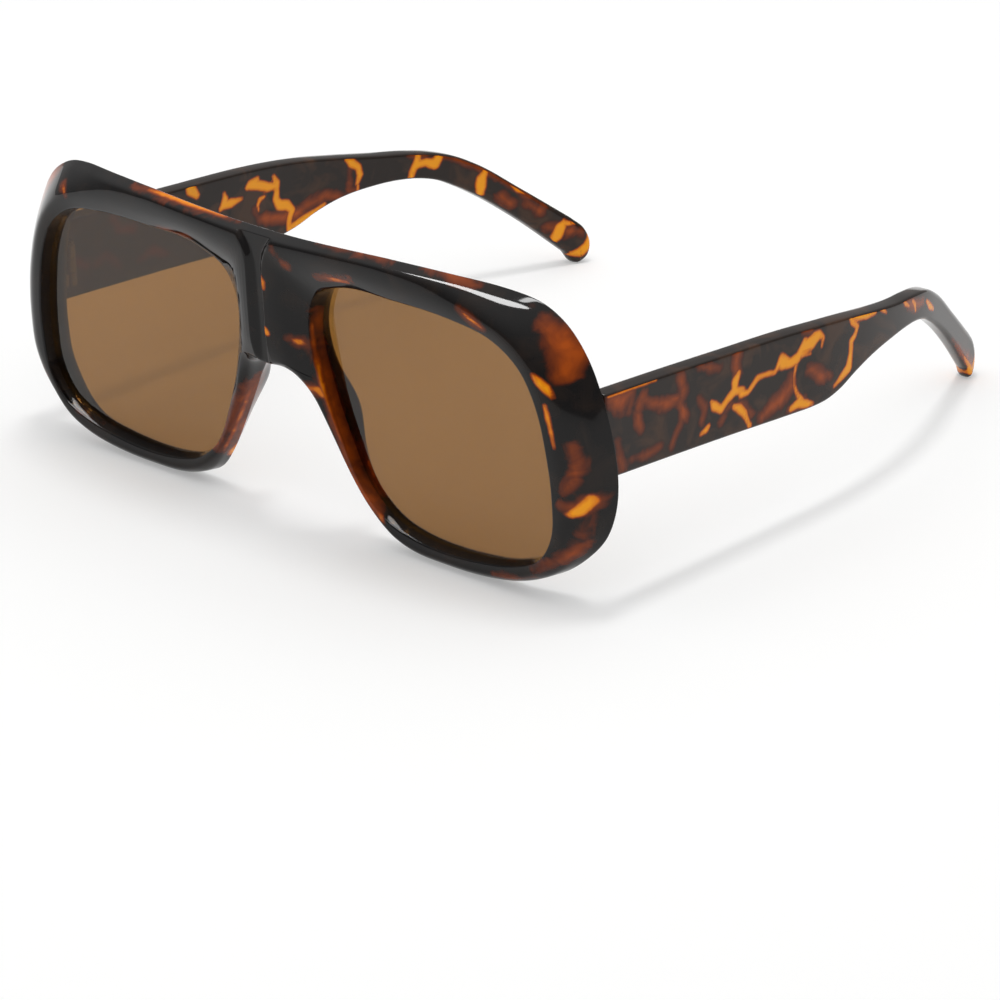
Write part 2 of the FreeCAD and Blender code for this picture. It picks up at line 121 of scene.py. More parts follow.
# The wearer's left rim, from the top of the bridge by the cheek and the foot of the nose to the top of
# the nose gap. Each row holds the edge round the back, the crease round the front and the edge of the
# front face, each as shares of half_width, front_height and side_depth, then how far the bevel behind
# the back edge reaches towards the lens opening, and the depth of the lip at the lens.
rim_shares = [
    ((0.000, 0.985, -0.07), (0.000, 0.974, -0.39), (0.048, 0.945, -0.44), 0.62, -0.08),
    ((0.080, 0.985, -0.07), (0.080, 0.974, -0.38), (0.090, 0.955, -0.42), 0.62, -0.10),
    ((0.241, 0.995, -0.09), (0.241, 0.981, -0.34), (0.241, 0.964, -0.38), 0.62, -0.10),
    ((0.416, 1.000, 0.03), (0.416, 0.983, -0.26), (0.416, 0.966, -0.28), 0.62, -0.09),
    ((0.590, 0.991, 0.28), (0.576, 0.976, -0.08), (0.556, 0.957, -0.18), 0.58, -0.06),
    ((0.724, 0.966, 0.66), (0.717, 0.949, 0.30), (0.684, 0.916, -0.07), 0.50, 0.00),
    ((0.811, 0.937, 0.84), (0.798, 0.925, 0.56), (0.771, 0.870, 0.02), 0.35, 0.04),
    ((0.878, 0.885, 0.88), (0.858, 0.866, 0.64), (0.828, 0.805, 0.09), 0.20, 0.07),
    ((0.929, 0.798, 0.92), (0.906, 0.771, 0.60), (0.870, 0.719, 0.13), 0.12, 0.09),
    ((0.968, 0.676, 0.94), (0.944, 0.651, 0.56), (0.902, 0.611, 0.17), 0.12, 0.10),
    ((0.993, 0.531, 0.97), (0.971, 0.517, 0.56), (0.922, 0.497, 0.19), 0.12, 0.10),
    ((1.000, 0.385, 0.96), (0.979, 0.380, 0.56), (0.929, 0.373, 0.20), 0.12, 0.11),
    ((0.992, 0.300, 0.89), (0.969, 0.295, 0.53), (0.925, 0.291, 0.20), 0.12, 0.12),
    ((0.968, 0.223, 0.82), (0.942, 0.219, 0.47), (0.902, 0.216, 0.20), 0.20, 0.13),
    ((0.921, 0.154, 0.73), (0.895, 0.151, 0.40), (0.861, 0.151, 0.18), 0.30, 0.14),
    ((0.854, 0.089, 0.67), (0.836, 0.084, 0.33), (0.808, 0.091, 0.14), 0.40, 0.15),
    ((0.774, 0.045, 0.64), (0.761, 0.039, 0.29), (0.741, 0.055, 0.12), 0.45, 0.15),
    ((0.654, 0.012, 0.62), (0.649, 0.010, 0.27), (0.643, 0.033, 0.11), 0.45, 0.15),
    ((0.496, 0.000, 0.60), (0.496, 0.002, 0.27), (0.496, 0.026, 0.11), 0.45, 0.15),
    ((0.387, 0.010, 0.60), (0.393, 0.012, 0.27), (0.402, 0.031, 0.11), 0.45, 0.15),
    ((0.314, 0.041, 0.60), (0.322, 0.045, 0.27), (0.338, 0.058, 0.11), 0.40, 0.14),
    ((0.255, 0.120, 0.54), (0.258, 0.122, 0.24), (0.266, 0.128, 0.13), 0.45, 0.13),
    ((0.201, 0.226, 0.47), (0.203, 0.227, 0.20), (0.211, 0.231, 0.09), 0.50, 0.11),
    ((0.141, 0.368, 0.43), (0.144, 0.370, 0.11), (0.155, 0.376, 0.02), 0.50, 0.08),
    ((0.102, 0.466, 0.43), (0.105, 0.469, -0.04), (0.121, 0.483, -0.10), 0.40, 0.05),
    ((0.071, 0.517, 0.43), (0.072, 0.522, -0.20), (0.090, 0.545, -0.26), 0.30, 0.03),
    ((0.000, 0.538, 0.38), (0.000, 0.545, -0.36), (0.052, 0.580, -0.38), 0.30, 0.02),
]

# The same up the middle of the bridge, where the two rims join.
bridge_shares = [
    ((0.000, 0.605, 0.49), (0.000, 0.612, -0.50), (0.058, 0.630, -0.42), 0.45, 0.00),
    ((0.000, 0.680, 0.59), (0.000, 0.685, -0.51), (0.060, 0.695, -0.42), 0.55, 0.00),
    ((0.000, 0.760, 0.69), (0.000, 0.765, -0.50), (0.060, 0.765, -0.42), 0.62, -0.01),
    ((0.000, 0.835, 0.71), (0.000, 0.845, -0.48), (0.059, 0.835, -0.42), 0.64, -0.03),
    ((0.000, 0.900, 0.69), (0.000, 0.915, -0.45), (0.056, 0.895, -0.42), 0.64, -0.05),
]

# Lens opening, from its lower nose side round by the cheek: shares of its width and height.
lens_shares = [
    (0.280, 0.045), (0.380, 0.012), (0.500, 0.000), (0.660, 0.010), (0.820, 0.044),
    (0.925, 0.100), (0.985, 0.210), (1.000, 0.370), (0.988, 0.560), (0.955, 0.735),
    (0.900, 0.860), (0.805, 0.945), (0.640, 0.990), (0.400, 1.000), (0.170, 0.988),
    (0.045, 0.920), (0.000, 0.785), (0.030, 0.560), (0.095, 0.340), (0.190, 0.125),
]
lens_steps = 10
lens_rings_shares = (0.97, 0.75, 0.5, 0.25)
lens_edge_bevel = 0.2

# Temples: sizes, then the side outline as shares of temple_reach and temple_top_height
temple_reach = 126.4
temple_top_height = 40.0
temple_thickness = 3.6
temple_outer_x = 72.0
temple_front_y = 9.065
joint_gap = 0.15
temple_straight = 53.1
temple_turn_radius = 125.0
temple_turn_degrees = 22.5
temple_edge_round = 0.55
tip_edge_round = 1.4
tip_round_start = 82.0
temple_round_steps = 4
temple_stations = 240
temple_tip_stations = 14
outline_steps = 12
temple_rows = 26
temple_top_shares = [
    (0.000, 1.000), (0.128, 0.973), (0.247, 0.945), (0.421, 0.900), (0.517, 0.860),
    (0.596, 0.815), (0.659, 0.779), (0.715, 0.753), (0.751, 0.729), (0.782, 0.696),
    (0.818, 0.633), (0.889, 0.460), (0.969, 0.255),
]
temple_tip_shares = [
    (0.969, 0.255), (0.992, 0.180), (1.000, 0.098), (0.992, 0.023), (0.978, 0.000),
    (0.962, 0.064),
]
temple_bottom_shares = [
    (0.000, 0.605), (0.128, 0.580), (0.247, 0.555), (0.390, 0.521), (0.429, 0.513),
    (0.465, 0.515), (0.497, 0.535), (0.532, 0.573), (0.580, 0.610), (0.643, 0.628),
    (0.683, 0.628), (0.723, 0.613), (0.755, 0.583), (0.786, 0.530), (0.826, 0.445),
    (0.889, 0.282), (0.962, 0.064),
]

# The photograph's camera: degrees, and lengths in millimetres, apart from the metres between which it sees
camera_azimuth = 44.23
camera_elevation = 22.846
camera_roll = -2.119
camera_distance = 928.1
camera_target = Vector((54.53, lip_plane_y, 18.83))
camera_lens = 191.9
camera_sensor = 36.0
camera_sees = (0.01, 100.0)


def smooth_curve(points, steps, before=None, after=None):
    """Points along a smooth open curve through rows of numbers, with an unseen row beyond each end."""
    points = np.asarray(points, float)
    before = 2 * points[0] - points[1] if before is None else np.asarray(before, float)
    after = 2 * points[-1] - points[-2] if after is None else np.asarray(after, float)
    rows = np.vstack([before, points, after])
    gaps = np.linalg.norm(np.diff(rows, axis=0), axis=1)
    speeds = np.diff(rows, axis=0) / gaps[:, None]
    found = []
    for i in range(1, len(rows) - 2):
        ahead = gaps[i]
        start = (speeds[i - 1] * gaps[i] + speeds[i] * gaps[i - 1]) / (gaps[i - 1] + gaps[i]) * ahead
        stop = (speeds[i] * gaps[i + 1] + speeds[i + 1] * gaps[i]) / (gaps[i] + gaps[i + 1]) * ahead
        for t in np.arange(steps) / steps:
            square, cube = t * t, t * t * t
            found.append(
                rows[i] * (2 * cube - 3 * square + 1)
                + start * (cube - 2 * square + t)
                + rows[i + 1] * (3 * square - 2 * cube)
                + stop * (cube - square)
            )
    return np.array(found + [points[-1]])


def smooth_loop(points, steps):
    """Points along a smooth closed curve."""
    points = np.asarray(points, float)
    closed = np.vstack([points, points[:1]])
    return smooth_curve(closed, steps, before=points[-1], after=points[1])[:-1]


def mix(a, b, share):
    """The place at a share of the way from a to b."""
    return a + (b - a) * share


def eased(way):
    """A way held between 0 and 1, with soft ends."""
    way = np.clip(way, 0.0, 1.0)
    return way * way * (3 - 2 * way)


def leaned(points):
    """The front's lean about the level of lean_height, then its place in the frame."""
    turn = math.radians(front_lean_degrees)
    points = np.asarray(points, float)
    y, z = points[:, 1], points[:, 2] - lean_height
    moved = points.copy()
    moved[:, 1] = y * math.cos(turn) - z * math.sin(turn) + lip_plane_y
    moved[:, 2] = y * math.sin(turn) + z * math.cos(turn) + lean_height + table_z
    return moved


def add_object(name, data):
    """A new object in the scene."""
    made = bpy.data.objects.new(name, data)
    bpy.context.scene.collection.objects.link(made)
    return made


def add_piece(name, mesh, body, slot, *nodes):
    """A finished mesh as a piece that rides on a body and stands for CAD nodes."""
    piece = add_object(name, mesh)
    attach(piece, body)
    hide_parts(*nodes)
    return piece


def mesh_of(name, points, faces):
    """A mesh in metres from points in millimetres, with its doubles merged and its faces outwards."""
    made = bmesh.new()
    corners = [made.verts.new(Vector(p) * mm) for p in points]
    for face in faces:
        made.faces.new([corners[i] for i in face])
    bmesh.ops.remove_doubles(made, verts=made.verts, dist=weld_distance * mm)
    bmesh.ops.recalc_face_normals(made, faces=made.faces)
    for face in made.faces:
        face.smooth = True
    mesh = bpy.data.meshes.new(name)
    made.to_mesh(mesh)
    made.free()
    return mesh


def ring_faces(rings, count, first=0):
    """Quads between closed rings of points, one ring after the other from the first point's number."""
    faces = []
    for ring in range(rings - 1):
        here, after = first + ring * count, first + (ring + 1) * count
        for i in range(count):
            j = (i + 1) % count
            faces.append([here + i, here + j, after + j, after + i])
    return faces


def evaluated_mesh(holder, name):
    """The mesh of an object with its modifiers applied. The object is removed."""
    bpy.context.view_layer.update()
    graph = bpy.context.evaluated_depsgraph_get()
    mesh = bpy.data.meshes.new_from_object(holder.evaluated_get(graph))
    mesh.name = name
    bpy.data.objects.remove(holder)
    return mesh


# Node trees
whole_span = (0.0, 1.0)

# Where the colour sockets of a Mix node stand in its rows of sockets
mix_first_socket = 6
mix_second_socket = 7
mix_result_socket = 2


def math_node(tree, operation, *values):
    """The result of a sum on sockets and numbers."""
    node = tree.nodes.new("ShaderNodeMath")
    node.operation = operation
    for socket, value in zip(node.inputs, values):
        if isinstance(value, (int, float)):
            socket.default_value = value
        else:
            tree.links.new(value, socket)
    return node.outputs[0]


def object_place(tree, scale):
    """Object coordinates, scaled for a pattern."""
    place = tree.nodes.new("ShaderNodeTexCoord")
    mapping = tree.nodes.new("ShaderNodeMapping")
    mapping.inputs["Scale"].default_value = scale
    tree.links.new(place.outputs["Object"], mapping.inputs["Vector"])
    return mapping.outputs[0]


def noise_node(tree, vector, settings):
    """Noise of a scale, a detail and a distortion."""
    node = tree.nodes.new("ShaderNodeTexNoise")
    for name, value in zip(("Scale", "Detail", "Distortion"), settings):
        node.inputs[name].default_value = value
    tree.links.new(vector, node.inputs["Vector"])
    return node.outputs["Fac"]


def range_node(tree, value, span, result=whole_span):
    """A number brought from one span to another and held inside it."""
    node = tree.nodes.new("ShaderNodeMapRange")
    for name, number in zip(("From Min", "From Max", "To Min", "To Max"), (*span, *result)):
        node.inputs[name].default_value = number
    tree.links.new(value, node.inputs["Value"])
    return node.outputs["Result"]


def ramp_node(tree, value, stops):
    """A colour for a number, from stops of a position and a colour."""
    node = tree.nodes.new("ShaderNodeValToRGB")
    ramp = node.color_ramp
    while len(ramp.elements) < len(stops):
        ramp.elements.new(1.0)
    for element, (position, colour) in zip(ramp.elements, stops):
        element.position = position
        element.color = (*colour, 1.0)
    tree.links.new(value, node.inputs[0])
    return node.outputs[0]


def mix_colours(tree, share, first, second):
    """Two colours mixed by a number from 0 to 1."""
    node = tree.nodes.new("ShaderNodeMix")
    node.data_type = "RGBA"
    tree.links.new(share, node.inputs["Factor"])
    tree.links.new(first, node.inputs[mix_first_socket])
    tree.links.new(second, node.inputs[mix_second_socket])
    return node.outputs[mix_result_socket]


# Front frame
lens_centre = np.array([bridge_width / 2 + lens_opening_width / 2, bottom_rim + lens_opening_height / 2])


def lens_outline(grow):
    """The wearer's left lens opening as a closed row of x, z."""
    low = np.array([bridge_width / 2 - grow, bottom_rim - grow])
    size = np.array([lens_opening_width, lens_opening_height]) + 2 * grow
    return smooth_loop(low + np.array(lens_shares) * size, lens_steps)


def outline_towards(grow):
    """A function from an angle about the lens's middle to the point of the opening there."""
    outline = lens_outline(grow)
    ways = outline - lens_centre
    angles = np.arctan2(ways[:, 1], ways[:, 0])
    order = np.argsort(angles)
    angles = angles[order]
    reaches = np.linalg.norm(ways, axis=1)[order]

    def at(angle, depth):
        reach = np.interp(angle, angles, reaches, period=2 * math.pi)
        return np.array([
            lens_centre[0] + reach * math.cos(angle),
            depth,
            lens_centre[1] + reach * math.sin(angle),
        ])

    return at


def back_depth(x, z):
    """Depth of the front's back: deeper at the sides, swelling at the nose, hollowed at the bridge."""
    wrap_end = bridge_width / 2 + lens_opening_width
    wrap = eased((abs(x) - wrap_end + wrap_run) / wrap_run)
    depth = mix(mid_depth, side_depth - leaf_proud, wrap)
    off_x = (abs(x) - nose_swell_x) / nose_swell_width
    off_z = (z - nose_swell_z) / nose_swell_height
    depth += nose_swell * math.exp(-off_x * off_x - off_z * off_z)
    if abs(x) < saddle_radius:
        rise = (z - saddle_foot_height) * math.tan(math.radians(saddle_tilt_degrees))
        axis_y = mid_depth - saddle_depth + saddle_radius + rise
        depth = min(depth, axis_y - math.sqrt(saddle_radius**2 - x * x))
    return depth


def row_numbers(row):
    """A row of shares as lengths: edge, crease, face, bevel share and lip depth."""
    numbers = []
    for x, z, depth in row[:3]:
        numbers += [x * half_width, depth * side_depth, z * front_height]
    return np.array(numbers + [row[3], row[4] * side_depth])


def mirrored_row(numbers):
    """A row as lengths on the other side of the middle plane."""
    turned = numbers.copy()
    turned[[0, 3, 6]] *= -1
    return turned


def rim_rows():
    """Close rows all round the wearer's left lens: the rim, then the middle of the bridge."""
    rim = [row_numbers(row) for row in rim_shares]
    bridge = [row_numbers(row) for row in bridge_shares]
    dense = smooth_curve(rim, rim_steps, mirrored_row(rim[1]), mirrored_row(rim[-2]))
    middle = smooth_curve([rim[-1]] + bridge + [rim[0]], bridge_steps)[1:-1]
    middle[:, [0, 3]] = 0.0
    return np.vstack([dense, middle])


def crease_softness(crease):
    """0 along the middle of the brow, where the crease is crisp, and 1 where the rim rolls over."""
    out = (crease[0] / half_width - brow_crisp_share) / (brow_soft_share - brow_crisp_share)
    if crease[2] < brow_low_share * front_height and crease[0] > 0:
        out = 1.0
    return min(max(out, 0.0), 1.0)


def rim_profile(row, at_lip, at_seat, at_corner):
    """The named points round the rim's section, from the lip by the front and the back to the lens."""
    edge, crease, face = row[0:3], row[3:6], row[6:9]
    bevel_share, lip_depth = row[9], row[10]
    soft = crease_softness(crease)
    crease = mix(crease, (face + edge) / 2, soft * crease_easing_share)
    after_crease_share = mix(crisp_after_crease_share, soft_after_crease_share, soft)
    angle = math.atan2(edge[2] - lens_centre[1], edge[0] - lens_centre[0])
    lip = at_lip(angle, lip_depth)
    seat_front = at_seat(angle, lens_setback)
    opening = at_seat(angle, 0.0)
    back_outer = mix(edge, opening, bevel_share)
    back_outer[1] = back_depth(back_outer[0], back_outer[2])
    back_inner = at_corner(angle, 0.0)
    back_inner[1] = back_depth(back_inner[0], back_inner[2])
    seat_back = at_seat(angle, back_inner[1] - back_corner_round)
    middle = mix(lip, face, face_middle_share)
    middle[1] -= face_bulge_share * np.linalg.norm(face - lip)
    bevel_middle = mix(edge, back_outer, bevel_middle_share)
    bevel_middle[1] = min(bevel_middle[1], back_depth(bevel_middle[0], bevel_middle[2]))
    return [
        lip,
        mix(lip, middle, near_lip_share / face_middle_share),
        middle,
        face,
        crease,
        mix(crease, edge, after_crease_share),
        mix(crease, edge, before_edge_share),
        edge,
        mix(edge, bevel_middle, after_edge_share),
        bevel_middle,
        back_outer,
        mix(back_outer, back_inner, before_back_corner_share),
        back_inner,
        seat_back,
        seat_front,
        mix(seat_front, lip, before_lip_share),
    ]


def front_cage():
    """Both rims as one coarse cage of quads that joins up the middle of the bridge."""
    at_lip, at_seat = outline_towards(lens_flare), outline_towards(0.0)
    at_corner = outline_towards(back_corner_round)
    rows = [rim_profile(row, at_lip, at_seat, at_corner) for row in rim_rows()]
    columns = len(rows[0])
    left = np.array(rows).reshape(-1, 3)
    right = left * np.array([-1.0, 1.0, 1.0])
    points = np.vstack([left, right])
    faces = []
    for i in range(len(rows)):
        j = (i + 1) % len(rows)
        for k in range(columns):
            m = (k + 1) % columns
            quad = [i * columns + k, i * columns + m, j * columns + m, j * columns + k]
            if all(abs(left[q][0]) < middle_tolerance for q in quad):
                continue
            faces.append(quad)
            faces.append([len(left) + q for q in reversed(quad)])
    return points, faces


def channel_half(z):
    """Half the width of the channel's mouth at a height: even below, flared open towards the top."""
    above = (z - channel_neck_height) / channel_flare_ease
    return channel_half_width + channel_flare_slope * channel_flare_ease * math.log1p(math.exp(above))


def cut_channel(mesh):
    """Close upright loops across the front of the bridge, which is then pressed in along the channel."""
    made = bmesh.new()
    made.from_mesh(mesh)
    loops = round(channel_reach / channel_loop_step)
    for i in range(-loops, loops + 1):
        near = []
        for face in made.faces:
            middle = face.calc_center_median() / mm
            if abs(middle.x) < channel_reach and middle.y < channel_floor_y:
                near.append(face)
        edges = {edge for face in near for edge in face.edges}
        verts = {vert for face in near for vert in face.verts}
        place = Vector((i * channel_loop_step, 0, 0)) * mm
        parts = near + list(edges) + list(verts)
        bmesh.ops.bisect_plane(
            made, geom=parts, dist=loop_tolerance * mm, plane_co=place, plane_no=(1, 0, 0)
        )
    for vert in made.verts:
        p = vert.co / mm
        if p.y < channel_floor_y:
            inside = eased((channel_half(p.z) - abs(p.x)) / channel_wall)
            vert.co.y = mix(p.y, channel_floor_y, inside) * mm
    made.to_mesh(mesh)
    made.free()


def ease_front(mesh):
    """Ease the surface at the back of the bridge's top and over the brow's outer corners."""
    made = bmesh.new()
    made.from_mesh(mesh)
    back, corners = [], []
    for vert in made.verts:
        p = vert.co / mm
        if abs(p.x) < back_ease_reach and p.y > back_ease_y and p.z > back_ease_height:
            back.append(vert)
        upright = vert.normal.z > corner_ease_upright
        if abs(p.x) > corner_ease_start and p.z > corner_ease_height and upright:
            corners.append(vert)
    for verts, rounds in ((back, back_ease_rounds), (corners, corner_ease_rounds)):
        for _ in range(rounds):
            bmesh.ops.smooth_vert(
                made, verts=verts, factor=ease_share, use_axis_x=True, use_axis_y=True, use_axis_z=True
            )
    made.to_mesh(mesh)
    made.free()


def front_mesh():
    """The front from its cage: smoothed, eased, given its channel and leaned."""
    points, faces = front_cage()
    holder = add_object("front_cage", mesh_of("front_cage", points, faces))
    smoothing = holder.modifiers.new("round", "SUBSURF")
    smoothing.levels = smoothing.render_levels = rim_smoothing
    mesh = evaluated_mesh(holder, "front_frame_body")
    ease_front(mesh)
    cut_channel(mesh)
    places = np.array([v.co for v in mesh.vertices]) / mm
    mesh.vertices.foreach_set("co", (leaned(places) * mm).ravel())
    mesh.update()
    return mesh


# Lenses
def lens_mesh(name, side):
    """A flat lens: rings from its middle to a bevelled edge, front and back."""
    outer = lens_outline(lens_in_groove)
    count = len(outer)
    front_y, back_y = lens_setback, lens_setback + lens_thickness
    rings = [(share, 0.0, front_y) for share in reversed(lens_rings_shares)]
    rings += [
        (1.0, -lens_edge_bevel, front_y),
        (1.0, 0.0, front_y + lens_edge_bevel),
        (1.0, 0.0, back_y - lens_edge_bevel),
        (1.0, -lens_edge_bevel, back_y),
    ]
    rings += [(share, 0.0, back_y) for share in lens_rings_shares]
    points = [(side * lens_centre[0], front_y, lens_centre[1])]
    for share, grow, depth in rings:
        row = lens_outline(lens_in_groove + grow) if share == 1.0 else mix(lens_centre, outer, share)
        points += [(side * x, depth, z) for x, z in row]
    points.append((side * lens_centre[0], back_y, lens_centre[1]))
    faces = ring_faces(len(rings), count, 1)
    last = 1 + (len(rings) - 1) * count
    for i in range(count):
        j = (i + 1) % count
        faces.append([0, 1 + j, 1 + i])
        faces.append([last + i, last + j, len(points) - 1])
    return mesh_of(name, leaned(points), faces)


# Temples
def along(curve, count):
    """Points at even steps along a row of points."""
    lengths = np.concatenate([[0.0], np.cumsum(np.linalg.norm(np.diff(curve, axis=0), axis=1))])
    wanted = np.linspace(0.0, lengths[-1], count)
    return np.column_stack([np.interp(wanted, lengths, curve[:, k]) for k in range(2)])


def temple_outline():
    """Top and bottom of a temple from its hinge end, closing to one point at the tip: rows of y, z."""
    size = np.array([temple_reach, temple_top_height])

    def even_row(shares, count):
        return along(smooth_curve(np.array(shares) * size, outline_steps), count)

    top = even_row(temple_top_shares, temple_stations)
    bottom = even_row(temple_bottom_shares, temple_stations)
    tip = even_row(temple_tip_shares, 2 * temple_tip_stations + 1)
    for end in (top[0], bottom[0]):
        end[0] = rear_face_y(end[1]) + joint_gap - temple_front_y
    top = np.vstack([top, tip[1:temple_tip_stations + 1]])
    bottom = np.vstack([bottom, tip[:temple_tip_stations - 1:-1][1:]])
    return top, bottom


def rear_face_y(z):
    """How far back the leaning rear face of the front's side lies at a height."""
    lean = math.radians(front_lean_degrees)
    return side_depth / math.cos(lean) - (z - lean_height) * math.tan(lean)


def inset_loop(loop, insets):
    """A closed row of y, z moved inwards, each point by its own length."""
    ahead = np.roll(loop, -1, axis=0) - np.roll(loop, 1, axis=0)
    ahead /= np.linalg.norm(ahead, axis=1)[:, None]
    inwards = np.column_stack([ahead[:, 1], -ahead[:, 0]])
    return loop + inwards * insets[:, None]


def side_rows(points, start, count):
    """Rows of point numbers across a flat side of a temple, from the hinge end to the tip. A row runs from
    the lower edge to the upper one, and the points between are added."""
    rows = []
    between = range(1, temple_rows)
    for i in range(count):
        lower, upper = start + 2 * count - 2 - i, start + i
        if i == 0:
            numbers = [lower + k for k in between]
        elif i == count - 1:
            numbers = [upper for k in between]
        else:
            low, high = np.array(points[lower]), np.array(points[upper])
            numbers = [len(points) + k - 1 for k in between]
            points.extend(tuple(mix(low, high, k / temple_rows)) for k in between)
        rows.append([lower, *numbers, upper])
    return rows


def temple_slab():
    """A flat temple with rounded edges: x is the depth below its outer face."""
    top, bottom = temple_outline()
    hinge_end = [mix(bottom[0], top[0], k / temple_rows) for k in range(1, temple_rows)]
    loop = np.vstack([top, bottom[-2::-1], np.array(hinge_end)])
    turn = np.linspace(0.0, math.pi / 2, temple_round_steps + 1)
    tipwards = eased((loop[:, 0] - tip_round_start) / (temple_reach - tip_round_start))
    rounds = mix(temple_edge_round, tip_edge_round, tipwards)
    outer = [(rounds * (1 - math.sin(t)), rounds * (1 - math.cos(t))) for t in turn]
    inner = [(inset, temple_thickness - depth) for inset, depth in reversed(outer)]
    sections = outer + inner
    points = []
    for insets, depths in sections:
        moved = inset_loop(loop, insets)
        points += [(depth, y, z) for depth, (y, z) in zip(depths, moved)]
    faces = ring_faces(len(sections), len(loop))
    for ring in (0, len(sections) - 1):
        rows = side_rows(points, ring * len(loop), len(top))
        for here, after in zip(rows, rows[1:]):
            for k in range(temple_rows):
                face = [here[k], after[k], after[k + 1], here[k + 1]]
                faces.append(list(dict.fromkeys(face)))
    return points, faces


bend_values = {
    "Outer Face": temple_outer_x * mm,
    "Straight Length": temple_straight * mm,
    "Turn Radius": temple_turn_radius * mm,
    "Turn Angle": math.radians(temple_turn_degrees),
}


def bend_tree(material):
    """Geometry nodes that bend a flat temple inwards behind its straight part."""
    tree = bpy.data.node_groups.new("temple_bend", "GeometryNodeTree")
    names = (*bend_values, "Side")
    face = tree.interface
    face.new_socket("Geometry", in_out="INPUT", socket_type="NodeSocketGeometry")
    for name in names:
        face.new_socket(name, in_out="INPUT", socket_type="NodeSocketFloat")
    face.new_socket("Geometry", in_out="OUTPUT", socket_type="NodeSocketGeometry")
    nodes, links = tree.nodes, tree.links
    given = nodes.new("NodeGroupInput")
    result = nodes.new("NodeGroupOutput")
    outer_face, straight, turn_radius, turn_angle, side = (given.outputs[name] for name in names)
    place = nodes.new("GeometryNodeInputPosition")
    parts = nodes.new("ShaderNodeSeparateXYZ")
    links.new(place.outputs[0], parts.inputs[0])
    depth, y, z = parts.outputs
    past = math_node(tree, "SUBTRACT", y, straight)
    radius = math_node(tree, "SUBTRACT", turn_radius, depth)
    arc_end = math_node(tree, "MULTIPLY", radius, math_node(tree, "SINE", turn_angle))
    on_arc = math_node(tree, "MINIMUM", math_node(tree, "MAXIMUM", past, 0.0), arc_end)
    radius_squared = math_node(tree, "MULTIPLY", radius, radius)
    on_arc_squared = math_node(tree, "MULTIPLY", on_arc, on_arc)
    under = math_node(tree, "SUBTRACT", radius_squared, on_arc_squared)
    arc_drop = math_node(tree, "SUBTRACT", turn_radius, math_node(tree, "SQRT", under))
    beyond = math_node(tree, "MAXIMUM", math_node(tree, "SUBTRACT", past, arc_end), 0.0)
    tail_drop = math_node(tree, "MULTIPLY", beyond, math_node(tree, "TANGENT", turn_angle))
    drop = math_node(tree, "ADD", arc_drop, tail_drop)
    across = math_node(tree, "MULTIPLY", math_node(tree, "SUBTRACT", outer_face, drop), side)
    joined = nodes.new("ShaderNodeCombineXYZ")
    for source, socket in zip((across, y, z), joined.inputs):
        links.new(source, socket)
    bend = nodes.new("GeometryNodeSetPosition")
    links.new(given.outputs["Geometry"], bend.inputs["Geometry"])
    links.new(joined.outputs[0], bend.inputs["Position"])
    realize = nodes.new("GeometryNodeRealizeInstances")
    links.new(bend.outputs[0], realize.inputs[0])
    finish = nodes.new("GeometryNodeSetMaterial")
    finish.inputs["Material"].default_value = material
    links.new(realize.outputs[0], finish.inputs["Geometry"])
    links.new(finish.outputs[0], result.inputs["Geometry"])
    return tree


def temple_mesh(name, side, tree):
    """A temple bent to its side and put in its place."""
    points, faces = temple_slab()
    holder = add_object(name + "_slab", mesh_of(name + "_slab", points, faces))
    bend = holder.modifiers.new("bend", "NODES")
    bend.node_group = tree
    values = {**bend_values, "Side": float(side)}
    for item in tree.interface.items_tree:
        if item.name in values:
            bend[item.identifier] = values[item.name]
    mesh = evaluated_mesh(holder, name)
    mesh.transform(Matrix.Translation(Vector((0, temple_front_y + lip_plane_y, table_z)) * mm))
    if side > 0:
        mesh.flip_normals()
    return mesh


